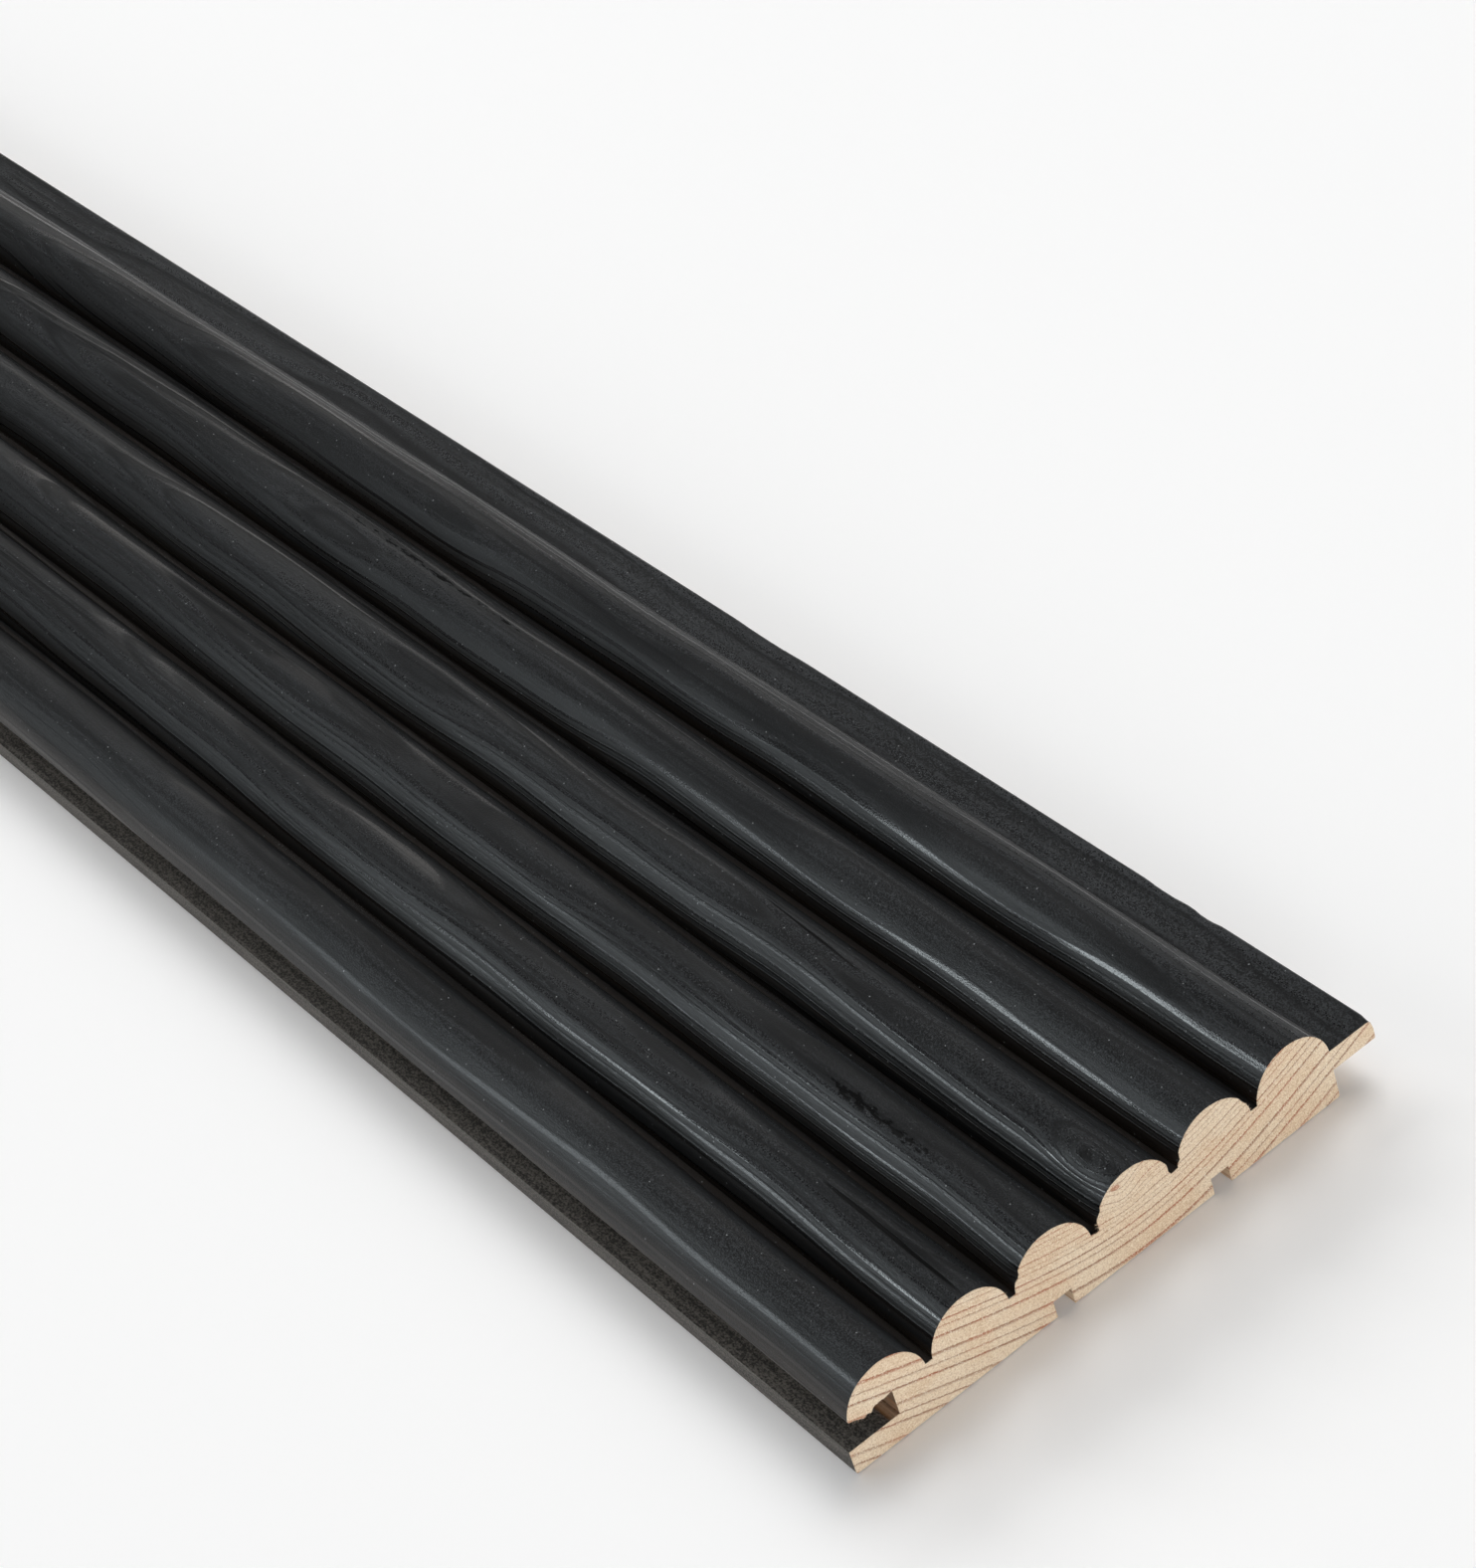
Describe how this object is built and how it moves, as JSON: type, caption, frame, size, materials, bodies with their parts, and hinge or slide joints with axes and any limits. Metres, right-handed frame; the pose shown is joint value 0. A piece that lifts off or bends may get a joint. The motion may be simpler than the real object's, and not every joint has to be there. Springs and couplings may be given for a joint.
{
  "type": "tongue and groove board",
  "caption": "Reeded softwood wall board with half-round reeds on its black stained face, a tongue on one edge, a groove in the other and relief grooves in its back.",
  "frame": {"origin": "centre of the bounding box in plan, on the plane of the flat back, which lies on the floor", "axes": "+X along the board; +Y across it, from the grooved edge towards the tongue; +Z from the back to the reeded face"},
  "size_m": [2.4, 0.12, 0.019],
  "materials": {
    "wood": "softwood with a semi-matte black stain on the face and edges, bare on the sawn ends and the back"
  },
  "bodies": {
    "root": {"board": "wood"}
  },
  "joints": []
}
